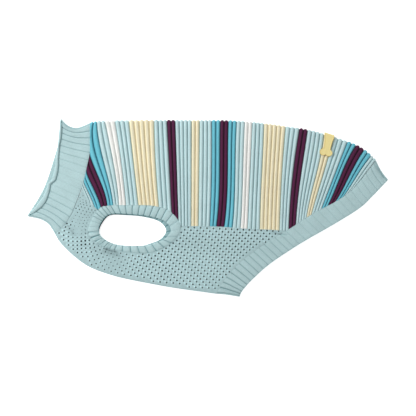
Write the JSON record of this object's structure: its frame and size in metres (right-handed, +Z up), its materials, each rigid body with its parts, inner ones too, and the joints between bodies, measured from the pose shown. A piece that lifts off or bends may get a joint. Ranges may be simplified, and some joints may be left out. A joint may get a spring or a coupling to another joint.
{
  "type": "dog sweater vest",
  "caption": "Sleeveless knitted dog vest laid flat on its side, with a striped ribbed back, an openwork belly, rib collar, hem and leg bands, and a small bone-shaped patch.",
  "frame": {"origin": "middle of the outline's box, on the surface that the vest lies on", "axes": "+X from the neck to the rear, +Y from the belly fold to the spine fold, +Z up, away from the surface"},
  "size_m": [0.4526, 0.224, 0.0077],
  "materials": {
    "striped_rib": "matt cotton rib knit, striped in pale aqua, aqua, plum, white and cream",
    "openwork_knit": "matt fine cotton knit with rows of small eyelets",
    "band_rib": "matt cotton rib knit",
    "straw_patch": "soft satin straw-yellow patch"
  },
  "bodies": {
    "root": {"back_panel": "striped_rib", "belly_panel": "openwork_knit", "collar": "band_rib", "hem_band": "band_rib", "armhole_band_left": "band_rib", "armhole_band_right": "band_rib", "bone_patch": "straw_patch"}
  },
  "joints": []
}
